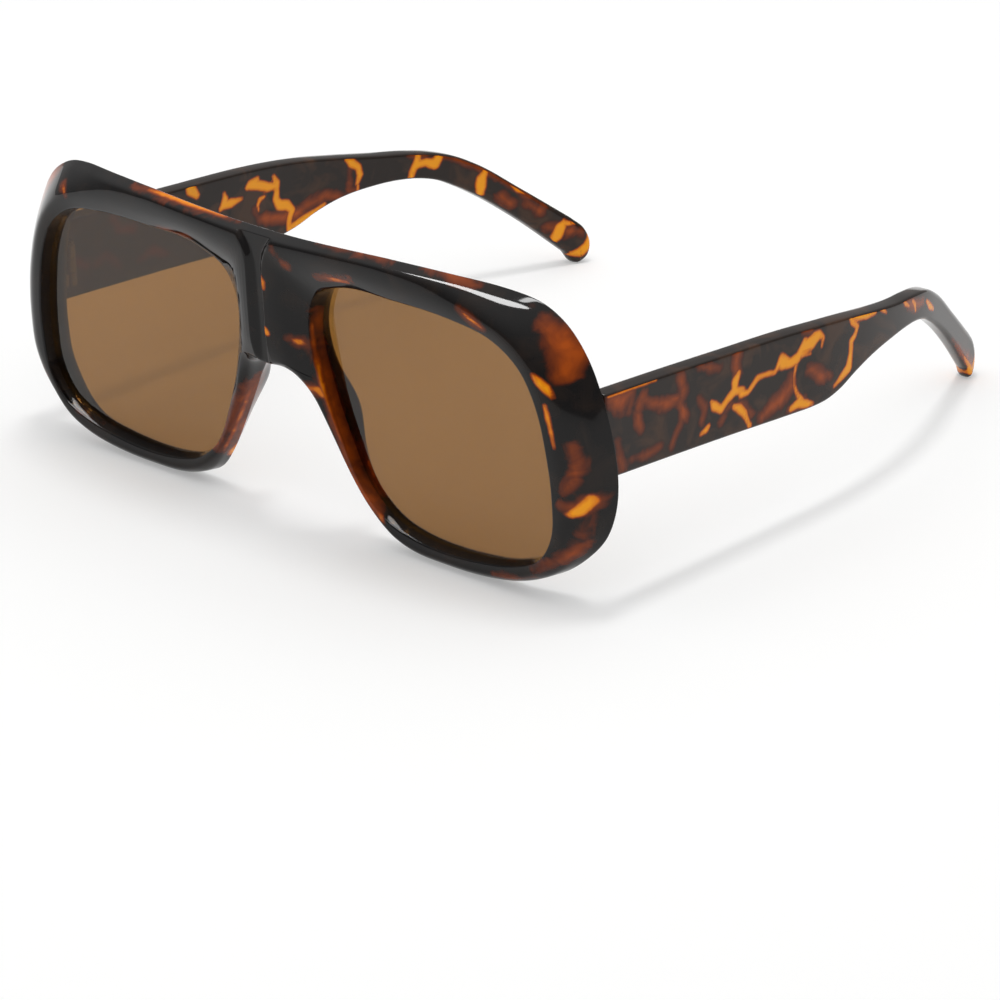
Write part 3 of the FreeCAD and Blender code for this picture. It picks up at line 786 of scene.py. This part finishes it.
# Tortoiseshell pattern. Each stroke is a row of points read off the piece seen square on, in millimetres
# from the lip plane and the table. On a temple a point is y, z and the stroke's radius there. On the front
# it is x, z and the radius, and the stroke's depth behind the lip plane stands before its points. Amber
# strokes shine yellow inside and fade through red-brown, and brown strokes stay dim.
left_temple_amber = [
    [(36.2, 30.2, 0.35), (37.0, 29.2, 0.95), (38.6, 28.0, 0.75), (40.2, 29.2, 0.6), (42.2, 30.3, 0.85),
     (44.6, 29.9, 0.6)],
    [(42.4, 30.6, 0.8), (42.6, 32.0, 0.9), (43.6, 33.4, 0.5)],
    [(44.2, 29.2, 0.75), (46.0, 29.0, 0.45), (48.6, 30.9, 0.55), (50.6, 30.9, 0.35), (52.0, 30.7, 0.5),
     (53.4, 30.5, 0.3)],
    [(53.2, 30.4, 0.2), (55.2, 32.6, 0.75), (55.4, 31.2, 0.9), (57.6, 31.0, 0.9), (59.4, 31.3, 1.0)],
    [(55.2, 33.4, 0.25), (56.4, 31.8, 0.9)],
    [(59.2, 31.0, 0.8), (60.6, 32.6, 0.7), (61.6, 34.2, 0.5)],
    [(61.4, 33.0, 1.0), (63.4, 33.2, 1.35), (65.4, 33.9, 0.8)],
    [(64.2, 34.6, 0.3), (65.6, 34.2, 0.6), (66.7, 33.0, 0.4), (66.2, 31.4, 0.2)],
    [(60.8, 31.6, 0.5), (63.0, 31.2, 0.25)],
    [(42.2, 27.4, 0.5), (43.6, 26.6, 0.9), (44.8, 25.4, 0.7), (45.4, 24.2, 0.5), (46.2, 22.6, 0.5)],
    [(33.2, 25.0, 0.3), (34.6, 25.4, 0.55), (35.4, 26.0, 0.3)],
    [(59.0, 30.0, 0.3), (58.5, 28.4, 0.2), (58.5, 26.4, 0.22), (59.2, 24.6, 0.3), (60.4, 23.0, 0.6)],
    [(57.4, 22.2, 0.5), (59.6, 22.6, 0.9), (61.6, 21.9, 0.8), (63.4, 21.3, 0.3)],
    [(75.2, 34.6, 0.6), (75.6, 33.2, 0.6), (77.2, 31.8, 0.45), (76.4, 30.4, 0.5), (75.1, 29.6, 0.55),
     (75.0, 27.6, 0.55), (74.2, 24.8, 0.95), (72.4, 23.9, 0.7), (69.8, 22.7, 0.3)],
    [(75.4, 34.4, 0.5), (77.0, 33.8, 0.75), (80.0, 33.0, 0.75), (83.4, 32.7, 0.5)],
    [(85.0, 33.0, 0.35), (86.0, 32.2, 0.45), (87.4, 31.0, 0.15)],
    [(94.4, 31.0, 0.3), (95.2, 30.0, 0.4), (96.6, 29.0, 0.2)],
    [(98.4, 29.4, 0.25), (99.4, 28.2, 0.5), (99.6, 27.0, 0.2)],
    [(105.2, 26.8, 0.3), (106.8, 25.2, 0.6), (108.8, 23.8, 0.3)],
    [(9.6, 39.4, 0.15), (15.0, 39.2, 0.2), (22.0, 38.8, 0.1)],
    [(126.5, 7.2, 0.3), (129.4, 4.4, 0.7), (132.4, 1.6, 0.9), (134.6, 3.4, 0.7), (135.2, 6.0, 0.3)],
]
left_temple_brown = [
    [(28.2, 37.2, 1.3), (28.9, 34.6, 1.4), (28.2, 32.4, 1.1), (28.8, 30.0, 1.2)],
    [(18.6, 36.4, 0.8), (21.0, 34.6, 1.2), (24.6, 33.6, 1.4), (27.6, 33.8, 1.2)],
    [(18.6, 37.4, 0.9), (17.4, 35.0, 1.1), (17.2, 32.4, 1.0), (17.8, 31.0, 0.6)],
    [(15.5, 26.4, 0.6), (18.6, 25.6, 1.0), (22.4, 26.0, 0.7)],
    [(28.8, 29.8, 0.5), (26.8, 27.2, 0.45), (25.4, 25.2, 0.5)],
    [(10.8, 38.8, 1.5), (12.8, 37.2, 1.9), (15.4, 38.6, 1.4)],
    [(15.8, 38.0, 0.8), (14.8, 35.4, 0.5)],
    [(33.4, 37.6, 0.8), (36.0, 36.8, 1.0), (38.4, 36.0, 0.6)],
    [(43.0, 33.2, 1.0), (42.8, 35.2, 1.0), (43.4, 37.0, 1.2)],
    [(38.6, 25.4, 0.4), (40.0, 27.4, 0.55), (42.4, 28.4, 0.5), (45.4, 27.0, 0.5), (46.8, 24.8, 0.5)],
    [(49.6, 23.0, 1.2), (52.0, 24.2, 1.7), (55.0, 24.8, 1.9), (57.4, 26.4, 1.5), (57.8, 28.6, 0.9)],
    [(56.8, 22.4, 0.8), (60.4, 22.4, 1.2)],
    [(61.2, 36.2, 0.6), (63.4, 35.4, 0.7)],
    [(11.6, 30.4, 0.7), (12.2, 27.6, 1.1), (12.8, 25.4, 0.8)],
    [(63.0, 28.0, 1.0), (66.0, 26.0, 1.3), (68.6, 25.0, 0.8)],
    [(33.0, 32.0, 0.5), (34.4, 29.6, 0.8), (33.6, 27.2, 0.6)],
    [(95.6, 30.2, 1.0), (99.0, 28.4, 1.2), (103.0, 27.4, 0.9)],
    [(120.0, 12.4, 0.8), (126.0, 7.6, 1.4), (132.0, 3.0, 1.8)],
]
right_temple_amber = [
    [(43.2, 38.0, 0.6), (44.0, 36.8, 1.3), (45.4, 35.2, 0.7)],
    [(51.4, 30.6, 0.4), (52.4, 31.2, 0.8), (54.4, 31.1, 0.9), (57.2, 31.2, 0.25)],
    [(52.6, 33.6, 0.3), (52.8, 32.4, 0.7), (52.6, 31.4, 0.9)],
    [(58.8, 33.0, 0.5), (59.8, 33.4, 0.95), (61.6, 34.0, 0.5)],
    [(59.8, 33.2, 0.9), (62.0, 32.6, 0.95), (64.4, 31.6, 0.9), (66.2, 31.4, 0.7)],
    [(66.0, 33.4, 0.35), (66.7, 31.8, 0.75), (66.6, 30.2, 0.6), (66.3, 28.4, 0.75), (67.2, 27.0, 1.05),
     (69.0, 26.6, 1.0), (70.3, 25.2, 0.75), (69.4, 23.4, 0.6), (69.2, 21.4, 0.5)],
    [(63.2, 29.9, 0.25), (62.0, 29.7, 0.4), (61.3, 28.6, 0.3), (61.6, 27.4, 0.12)],
    [(69.6, 21.6, 0.6), (72.0, 22.2, 0.8), (75.4, 23.2, 0.6), (78.5, 24.3, 0.3)],
    [(84.3, 32.2, 0.35), (85.4, 31.2, 0.9), (86.8, 30.0, 0.7), (87.2, 28.4, 0.65), (86.4, 26.6, 0.3)],
    [(86.6, 26.2, 0.2), (86.4, 24.8, 0.4)],
    [(98.4, 24.8, 0.5), (98.9, 26.4, 0.65), (99.8, 28.0, 0.75), (100.4, 30.2, 0.45)],
    [(99.8, 27.6, 0.8), (101.8, 27.8, 0.75), (103.6, 27.0, 1.0), (104.6, 28.4, 0.8), (104.9, 30.0, 0.5)],
    [(113.8, 23.4, 0.6), (113.0, 22.0, 1.0), (112.8, 20.4, 1.0), (112.6, 18.8, 0.7)],
    [(119.2, 19.8, 0.4), (120.4, 18.6, 0.7), (122.0, 17.4, 0.3)],
    [(129.6, 10.0, 0.3), (128.8, 8.6, 1.1), (128.0, 7.0, 1.1), (127.6, 5.8, 0.6)],
    [(129.2, 9.4, 0.5), (131.8, 9.0, 0.3)],
    [(131.2, 2.4, 0.5), (132.8, 2.6, 1.0), (134.2, 3.6, 0.9), (135.0, 6.0, 0.4)],
]
right_temple_brown = [
    [(10.6, 30.0, 0.8), (14.0, 31.0, 1.2), (17.0, 29.4, 0.8)],
    [(19.0, 29.0, 0.6), (22.0, 30.2, 1.0), (24.6, 27.4, 0.8)],
    [(24.2, 37.0, 0.8), (25.6, 34.0, 0.9), (29.4, 33.0, 0.7)],
    [(30.4, 26.6, 0.7), (34.0, 27.6, 1.1), (37.6, 25.8, 0.9)],
    [(36.0, 33.6, 0.6), (38.4, 35.4, 1.0)],
    [(60.4, 27.6, 0.5), (61.6, 25.8, 1.0), (65.0, 25.0, 1.4), (70.0, 23.8, 1.5), (74.0, 25.0, 1.2),
     (78.6, 26.0, 1.0), (82.0, 25.0, 0.8)],
    [(85.4, 33.2, 0.8), (84.8, 29.0, 0.5), (84.6, 26.0, 0.8), (86.6, 24.8, 0.6)],
    [(99.0, 30.2, 0.8), (101.8, 29.6, 0.7), (104.0, 30.0, 0.8)],
    [(106.0, 28.6, 0.8), (109.6, 27.0, 1.0), (113.6, 24.2, 1.1), (116.4, 22.0, 0.9)],
    [(117.0, 17.6, 1.2), (118.6, 15.8, 1.2)],
    [(122.4, 15.0, 1.0), (124.6, 13.0, 1.0)],
    [(117.4, 21.0, 0.7), (121.0, 18.6, 1.2), (126.0, 14.0, 0.8)],
    [(126.4, 9.0, 1.0), (130.4, 7.6, 1.2), (133.0, 7.0, 0.8)],
]
front_amber = [
    (1.2, [(62.8, 44.2, 0.3), (63.8, 43.2, 0.6), (65.2, 41.9, 0.65), (66.4, 40.4, 0.25)]),
    (0.8, [(65.2, 39.0, 0.2), (65.8, 36.8, 0.4), (66.3, 34.4, 0.25), (66.9, 31.4, 0.15)]),
    (3.0, [(73.8, 23.0, 0.6), (72.4, 21.8, 1.3), (70.6, 20.0, 1.0), (69.2, 19.2, 0.7), (68.0, 19.2, 0.3),
           (67.2, 20.8, 0.1), (67.0, 23.0, 0.0)]),
    (1.5, [(14.8, 10.4, 0.5), (16.4, 9.0, 1.0), (18.4, 7.6, 1.0), (20.8, 6.4, 0.4)]),
    (0.6, [(21.6, 7.8, 0.4), (22.8, 6.4, 0.6), (24.0, 5.0, 0.3)]),
    (0.5, [(7.4, 28.2, 0.4), (8.8, 28.8, 0.7), (10.2, 28.6, 0.5), (11.0, 27.4, 0.2)]),
    (-1.9, [(15.6, 52.0, 0.2), (18.4, 52.4, 0.5), (22.2, 52.6, 0.3)]),
    (-1.2, [(48.6, 53.0, 0.1), (50.0, 52.0, 0.3), (52.6, 50.8, 0.1)]),
    (-3.8, [(1.8, 49.8, 0.3), (2.1, 48.6, 0.6), (2.3, 47.2, 0.3)]),
    (-4.2, [(2.0, 39.6, 0.3), (2.4, 38.8, 0.4)]),
    (-1.8, [(6.4, 38.2, 0.1), (7.6, 37.6, 0.4), (8.8, 37.0, 0.3)]),
    (0.4, [(8.9, 42.0, 0.0), (9.2, 37.0, 0.1), (10.6, 30.0, 0.15), (12.3, 25.0, 0.2), (14.2, 19.8, 0.2),
           (16.8, 14.6, 0.25), (19.5, 9.8, 0.2)]),
    (2.4, [(-8.2, 25.6, 0.0), (-10.5, 21.6, 0.1), (-15.0, 13.4, 0.15), (-18.6, 8.0, 0.1)]),
    (-0.5, [(-58.2, 53.4, 0.15), (-56.0, 53.0, 0.35), (-54.0, 52.0, 0.2)]),
    (4.2, [(-70.6, 17.6, 0.2), (-69.6, 15.0, 0.5), (-67.8, 12.4, 0.4)]),
    (0.8, [(-59.8, 9.4, 0.2), (-57.4, 8.0, 0.4), (-54.6, 6.9, 0.3)]),
    (3.0, [(-17.0, 14.6, 0.3), (-18.4, 12.4, 0.4)]),
    (0.8, [(-20.4, 8.6, 0.3), (-18.8, 10.4, 0.3)]),
    (0.8, [(-37.2, 3.6, 0.1), (-35.0, 3.4, 0.25), (-33.0, 3.3, 0.1)]),
    (-1.8, [(-30.0, 58.2, 0.1), (-24.0, 58.1, 0.3), (-16.0, 57.9, 0.3), (-9.0, 57.6, 0.1)]),
]
front_brown = [
    (3.0, [(62.6, 52.6, 1.4), (65.4, 50.4, 2.8), (67.6, 47.6, 3.2), (67.4, 44.6, 2.2)]),
    (2.5, [(69.6, 32.0, 0.8), (70.4, 29.0, 1.3), (70.0, 26.0, 1.0), (68.2, 23.6, 0.8)]),
    (3.0, [(73.6, 22.4, 1.6), (70.6, 20.4, 1.6), (67.4, 20.8, 0.8)]),
    (4.0, [(60.4, 6.4, 0.6), (64.0, 8.6, 1.1), (68.0, 11.0, 1.1), (71.0, 13.4, 0.6)]),
    (1.5, [(50.4, 2.8, 0.4), (55.0, 3.0, 0.7), (59.6, 4.0, 0.5)]),
    (1.2, [(11.6, 17.6, 0.6), (13.4, 15.0, 1.6), (16.0, 12.4, 1.8), (19.4, 9.6, 1.6), (22.0, 7.0, 1.0)]),
    (0.5, [(5.8, 29.6, 0.5), (8.0, 28.8, 1.4), (10.6, 28.2, 1.2)]),
    (1.8, [(9.4, 45.0, 0.4), (9.4, 40.0, 0.7), (10.6, 30.0, 0.8), (14.2, 19.8, 0.8), (19.5, 9.8, 0.8)]),
    (-1.6, [(14.2, 51.8, 0.5), (17.0, 52.6, 0.9), (22.6, 53.4, 0.8)]),
    (-1.2, [(47.8, 53.4, 0.3), (50.4, 51.8, 0.8), (53.0, 50.6, 0.4)]),
    (-1.5, [(6.0, 38.2, 0.4), (7.8, 37.6, 1.1), (9.2, 36.8, 0.8)]),
    (-1.4, [(14.0, 57.8, 0.2), (22.0, 58.1, 0.6), (32.0, 58.4, 0.5)]),
    (1.2, [(37.0, 58.3, 0.4), (43.0, 58.0, 0.8), (49.0, 57.2, 0.4)]),
    (-0.5, [(-58.6, 53.6, 0.4), (-56.0, 53.0, 0.9), (-53.6, 51.8, 0.5)]),
    (4.2, [(-71.4, 19.0, 0.6), (-69.8, 15.4, 1.3), (-66.6, 11.4, 1.0)]),
    (1.5, [(-63.6, 18.0, 0.5), (-61.6, 12.4, 1.0), (-57.4, 8.0, 1.0), (-52.0, 6.0, 0.6)]),
    (3.5, [(-9.0, 26.4, 0.8), (-12.0, 20.6, 1.3), (-16.0, 14.6, 1.5), (-19.6, 9.2, 1.3)]),
    (-1.7, [(-34.0, 58.3, 0.3), (-24.0, 58.1, 0.6), (-14.0, 57.8, 0.6), (-6.0, 57.5, 0.3)]),
    (-1.5, [(-28.0, 51.2, 0.3), (-23.0, 51.5, 0.5), (-19.0, 51.7, 0.3)]),
    (-3.3, [(5.0, 55.0, 0.3), (8.0, 52.6, 0.6)]),
]
stroke_reach = 4.0
depth_weight_share = 0.45
back_stroke_depth = 6.5
edge_fade = 2.5
edge_fade_span = (0.5, 0.8)
front_weights = (1.0, depth_weight_share, 1.0)
temple_weights = (0.0, 1.0, 1.0)


def stroke_depth(places, strokes):
    """How deep each place lies inside the nearest stroke, in millimetres, and below zero outside."""
    depth = np.full(len(places), -stroke_reach)
    for rows in strokes:
        points, radii = np.array(rows)[:, :-1], np.array(rows)[:, -1]
        for start, stop, thick, thin in zip(points, points[1:], radii, radii[1:]):
            way = stop - start
            share = np.clip((places - start) @ way / (way @ way), 0.0, 1.0)
            apart = np.linalg.norm(places - start - share[:, None] * way, axis=1)
            depth = np.maximum(depth, mix(thick, thin, share) - apart)
    return depth


def front_strokes(strokes):
    """The front's strokes with their depths, and the same ones mirrored on its back."""
    rows = []
    for y, points in strokes:
        rows.append([(x, y * depth_weight_share, z, radius) for x, z, radius in points])
        rows.append([(-x, back_stroke_depth * depth_weight_share, z, radius) for x, z, radius in points])
    return rows


def paint(mesh, weights, amber, brown, fade):
    """The pattern's two depths on a mesh. The weights say how much a way along each axis counts, and the
    pattern is pressed down by the fade on faces that look up or down."""
    places = np.array([v.co for v in mesh.vertices]) / mm - np.array([0.0, lip_plane_y, table_z])
    counted = [k for k in range(3) if weights[k]]
    places = (places * np.array(weights))[:, counted]
    upright = np.abs([v.normal.z for v in mesh.vertices])
    level = np.interp(upright, edge_fade_span, whole_span)
    for name, strokes in (("amber", amber), ("brown", brown)):
        layer = mesh.attributes.new(name, "FLOAT", "POINT")
        depths = stroke_depth(places, strokes) - fade * level
        layer.data.foreach_set("value", depths.astype(np.float32))


# Materials. A noise is its scale per metre, its detail and its distortion, and a colour is linear.
even_scale = (1.0, 1.0, 1.0)
stroke_ripple = (420.0, 2.0, 0.6)
body_clouds = (130.0, 3.0, 0.8)
brown_blotches = (240.0, 3.0, 0.8)
polish_marks = (60.0, 4.0, 0.0)
blotch_span = (0.2, 0.8)
marks_span = (0.3, 0.7)

# Depth in a stroke, in millimetres, at the two ends of the pattern's colour ramps, and how far it wanders
amber_range = (-1.0, 1.0)
brown_range = (-1.05, 1.95)
edge_waver = 0.4
brown_mottle = 1.6

cloud_positions = (0.48, 0.66)
front_colours = ((0.006, 0.005, 0.005), (0.014, 0.009, 0.007))
# The temples' body colours are lighter and browner than the front's: partly the temples' own tone, partly a
# painted sheen.
temple_tone_and_sheen = ((0.020, 0.013, 0.010), (0.055, 0.026, 0.014))
brown_stops = [
    (0.12, (0.016, 0.006, 0.003)),
    (0.32, (0.082, 0.014, 0.003)),
    (0.60, (0.205, 0.034, 0.002)),
    (1.00, (0.420, 0.070, 0.002)),
]
amber_stops = [
    (0.32, (0.070, 0.014, 0.003)),
    (0.45, (0.320, 0.052, 0.002)),
    (0.54, (0.740, 0.185, 0.002)),
    (0.74, (0.940, 0.355, 0.003)),
]
brown_cover = (0.08, 0.30)
amber_cover = (0.30, 0.44)
shell_roughness = (0.04, 0.08)
shell_specular = 0.25

lens_haze = (30.0, 2.0, 0.0)
lens_stops = [
    (0.3, (0.240, 0.112, 0.025)),
    (0.7, (0.250, 0.118, 0.028)),
]
lens_ior = 1.45
lens_specular = 0.3

brushed_scale = (40.0, 40.0, 900.0)
steel_brushing = (30.0, 3.0, 0.0)
steel_stops = [
    (0.3, (0.16, 0.155, 0.15)),
    (0.7, (0.25, 0.245, 0.24)),
]
steel_roughness = (0.28, 0.42)


def new_material(name):
    """A material with its node tree and its shader."""
    material = bpy.data.materials.new(name)
    material.use_nodes = True
    tree = material.node_tree
    return material, tree, tree.nodes["Principled BSDF"]


def stroke_field(tree, name, waver, span):
    """A painted depth as a number from 0 to 1, with its edge made to wander."""
    read = tree.nodes.new("ShaderNodeAttribute")
    read.attribute_name = name
    return range_node(tree, math_node(tree, "ADD", read.outputs["Fac"], waver), span)


def tortoiseshell(name, colours):
    """Polished plastic: a dark body with dim clouds, brown strokes and crisp amber ones over them."""
    material, tree, shader = new_material(name)
    place = object_place(tree, even_scale)
    clouds = ramp_node(tree, noise_node(tree, place, body_clouds), list(zip(cloud_positions, colours)))
    blotches = noise_node(tree, place, brown_blotches)
    mottle = range_node(tree, blotches, blotch_span, (-brown_mottle / 2, brown_mottle / 2))
    brown_field = stroke_field(tree, "brown", mottle, brown_range)
    brown = ramp_node(tree, brown_field, brown_stops)
    ripple = noise_node(tree, place, stroke_ripple)
    waver = range_node(tree, ripple, whole_span, (-edge_waver / 2, edge_waver / 2))
    amber_field = stroke_field(tree, "amber", waver, amber_range)
    amber = ramp_node(tree, amber_field, amber_stops)
    body = mix_colours(tree, range_node(tree, brown_field, brown_cover), clouds, brown)
    colour = mix_colours(tree, range_node(tree, amber_field, amber_cover), body, amber)
    tree.links.new(colour, shader.inputs["Base Color"])
    polish = noise_node(tree, place, polish_marks)
    tree.links.new(range_node(tree, polish, marks_span, shell_roughness), shader.inputs["Roughness"])
    shader.inputs["Specular IOR Level"].default_value = shell_specular
    return material


def tinted_lens():
    """See-through brown lens. Its colour is what both faces together let through."""
    material, tree, shader = new_material("tinted_lens")
    haze = noise_node(tree, object_place(tree, even_scale), lens_haze)
    tree.links.new(ramp_node(tree, haze, lens_stops), shader.inputs["Base Color"])
    shader.inputs["Transmission Weight"].default_value = 1.0
    shader.inputs["Roughness"].default_value = 0.0
    shader.inputs["IOR"].default_value = lens_ior
    shader.inputs["Specular IOR Level"].default_value = lens_specular
    return material


def hinge_steel():
    """Satin plated steel with fine brushing."""
    material, tree, shader = new_material("hinge_steel")
    brushing = noise_node(tree, object_place(tree, brushed_scale), steel_brushing)
    tree.links.new(ramp_node(tree, brushing, steel_stops), shader.inputs["Base Color"])
    tree.links.new(range_node(tree, brushing, marks_span, steel_roughness), shader.inputs["Roughness"])
    shader.inputs["Metallic"].default_value = 1.0
    return material


# Stage: floor, light and camera. Lengths here are in metres and powers in watts.
floor_reach = 4.0
floor_colour = (0.98, 0.98, 0.975, 1.0)
floor_roughness = 0.9
floor_specular = 0.1
floor_own_light_share = 0.25
sky_levels = [(0.30, 0.30), (0.60, 0.60), (0.85, 1.00)]
key_place = (0.0, 0.02, 1.0)
key_size = (0.14, 0.32)
key_power = 2.5
fill_place = (-0.32, -0.02, 0.95)
fill_size = (0.64, 0.07)
fill_power = 1.0
crest_place = (-0.18, -0.265, 0.957)
crest_size = (0.75, 0.20)
crest_power = 12.0
crest_turn_degrees = -14.7


def add_floor():
    """A white floor. Part of its white is its own, so that shadows stay pale where they are seen."""
    floor_mesh = bpy.data.meshes.new("floor")
    corners = [(-floor_reach, -floor_reach), (floor_reach, -floor_reach), (floor_reach, floor_reach),
               (-floor_reach, floor_reach)]
    floor_mesh.from_pydata([(x, y, 0.0) for x, y in corners], [], [(0, 1, 2, 3)])
    floor = add_object("floor", floor_mesh)
    material, tree, shader = new_material("floor_white")
    shader.inputs["Base Color"].default_value = floor_colour
    shader.inputs["Roughness"].default_value = floor_roughness
    shader.inputs["Specular IOR Level"].default_value = floor_specular
    rays = tree.nodes.new("ShaderNodeLightPath").outputs
    seen = rays["Is Camera Ray"]
    for name in ("Is Glossy Ray", "Is Transmission Ray"):
        seen = math_node(tree, "MAXIMUM", seen, rays[name])
    own_share = range_node(tree, seen, whole_span, (0.0, floor_own_light_share))
    white = tree.nodes.new("ShaderNodeEmission")
    both = tree.nodes.new("ShaderNodeMixShader")
    for source, socket in zip((own_share, shader.outputs[0], white.outputs[0]), both.inputs):
        tree.links.new(source, socket)
    tree.links.new(both.outputs[0], tree.nodes["Material Output"].inputs["Surface"])
    floor_mesh.materials.append(material)


def add_light(name, place, size, power):
    """A soft lamp that looks at the origin."""
    light = bpy.data.lights.new(name, "AREA")
    light.shape = "ELLIPSE"
    light.size, light.size_y = size
    light.energy = power
    lamp = add_object(name, light)
    lamp.location = Vector(place)
    lamp.rotation_mode = "QUATERNION"
    lamp.rotation_quaternion = (-Vector(place)).to_track_quat("-Z", "Y")
    return lamp


def studio_lights():
    """A key lamp, a fill lamp with no shadow or glint, and a level lamp that only glints on the brow."""
    add_light("key_light", key_place, key_size, key_power)
    fill = add_light("fill_light", fill_place, fill_size, fill_power)
    fill.data.use_shadow = False
    fill.visible_glossy = False
    crest = add_light("crest_light", crest_place, crest_size, crest_power)
    crest.rotation_quaternion = Quaternion((0, 0, 1), math.radians(crest_turn_degrees))
    crest.visible_diffuse = False


def studio_sky():
    """A pale sky that brightens overhead like a wide soft box."""
    world = bpy.data.worlds.new("studio")
    bpy.context.scene.world = world
    world.use_nodes = True
    tree = world.node_tree
    way = tree.nodes.new("ShaderNodeTexCoord")
    parts = tree.nodes.new("ShaderNodeSeparateXYZ")
    tree.links.new(way.outputs["Generated"], parts.inputs[0])
    stops = [(height, (level, level, level)) for height, level in sky_levels]
    tree.links.new(ramp_node(tree, parts.outputs["Z"], stops), tree.nodes["Background"].inputs["Color"])


def photo_camera():
    """The photograph's camera, from its angles, its distance and the point that it looks at."""
    data = bpy.data.cameras.new("photo_camera")
    data.lens = camera_lens
    data.sensor_width = camera_sensor
    data.sensor_fit = "AUTO"
    data.clip_start, data.clip_end = camera_sees
    camera = add_object("photo_camera", data)
    azimuth, elevation, roll = (math.radians(d) for d in (camera_azimuth, camera_elevation, camera_roll))
    level = Vector((math.cos(azimuth), math.sin(azimuth), 0))
    back = Vector((
        math.sin(azimuth) * math.cos(elevation),
        -math.cos(azimuth) * math.cos(elevation),
        math.sin(elevation),
    ))
    upright = back.cross(level)
    right = level * math.cos(roll) + upright * math.sin(roll)
    up = upright * math.cos(roll) - level * math.sin(roll)
    spot = (camera_target + back * camera_distance) * mm
    camera.matrix_world = Matrix((
        (right.x, up.x, back.x, spot.x),
        (right.y, up.y, back.y, spot.y),
        (right.z, up.z, back.z, spot.z),
        (0, 0, 0, 1),
    ))
    bpy.context.scene.camera = camera


def build():
    """Every piece on its body, with its material and pattern, and steel on the carried-over hinge nodes."""
    front_shell = tortoiseshell("front_tortoiseshell", front_colours)
    temple_shell = tortoiseshell("temple_tortoiseshell", temple_tone_and_sheen)
    lens_material = tinted_lens()
    steel = hinge_steel()
    front = front_mesh()
    front.materials.append(front_shell)
    paint(front, front_weights, front_strokes(front_amber), front_strokes(front_brown), fade=0.0)
    add_piece("front_frame_body", front, "front", "tortoiseshell", "front_frame")
    bend = bend_tree(temple_shell)
    sides = (
        ("left", 1, left_temple_amber, left_temple_brown),
        ("right", -1, right_temple_amber, right_temple_brown),
    )
    for name, side, amber, brown in sides:
        lens = lens_mesh(name + "_lens_glass", side)
        lens.materials.append(lens_material)
        add_piece(name + "_lens_glass", lens, "front", "tinted_lens", name + "_lens")
        temple = temple_mesh(name + "_temple_arm", side, bend)
        paint(temple, temple_weights, amber, brown, fade=edge_fade)
        add_piece(name + "_temple_arm", temple, name + "_temple", "tortoiseshell", name + "_temple")
        for part in ("front_hinge", "temple_hinge", "hinge_screw"):
            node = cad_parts[name + "_" + part]
            node.data.materials.clear()
            node.data.materials.append(steel)


build()
add_floor()
studio_sky()
studio_lights()
photo_camera()
bpy.context.scene.view_settings.view_transform = "Standard"
